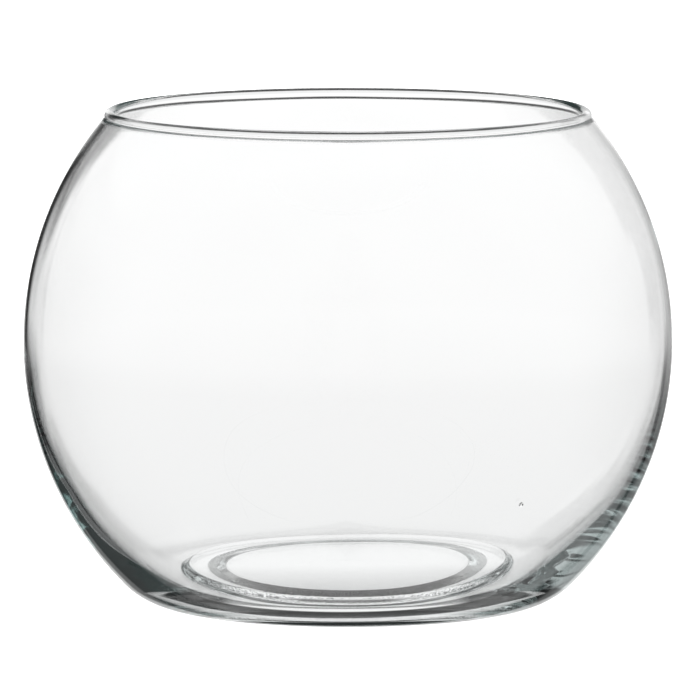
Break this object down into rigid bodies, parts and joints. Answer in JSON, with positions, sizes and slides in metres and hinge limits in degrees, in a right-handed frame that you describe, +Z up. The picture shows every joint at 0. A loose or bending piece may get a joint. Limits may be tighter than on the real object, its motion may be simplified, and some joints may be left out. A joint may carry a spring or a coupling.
{
  "type": "rose bowl vase",
  "caption": "Clear glass globe-shaped flower bowl with a wide open mouth, a rounded beaded rim, a thin wall, a thick heel and a slightly raised floor over a shallow hollow underneath.",
  "frame": {"origin": "centre of the ring that the bowl rests on, at the table", "axes": "+Z up along the bowl's axis of revolution; X and Y are alike"},
  "size_m": [0.1524, 0.1524, 0.1164],
  "materials": {
    "clear_glass": "clear soda-lime glass with a faint green-grey tint, fire-polished, slightly wavy inside, with a stippled bevel inside the resting ring"
  },
  "bodies": {
    "root": {"rim_bead": "clear_glass", "bowl_wall": "clear_glass", "base": "clear_glass"}
  },
  "joints": []
}
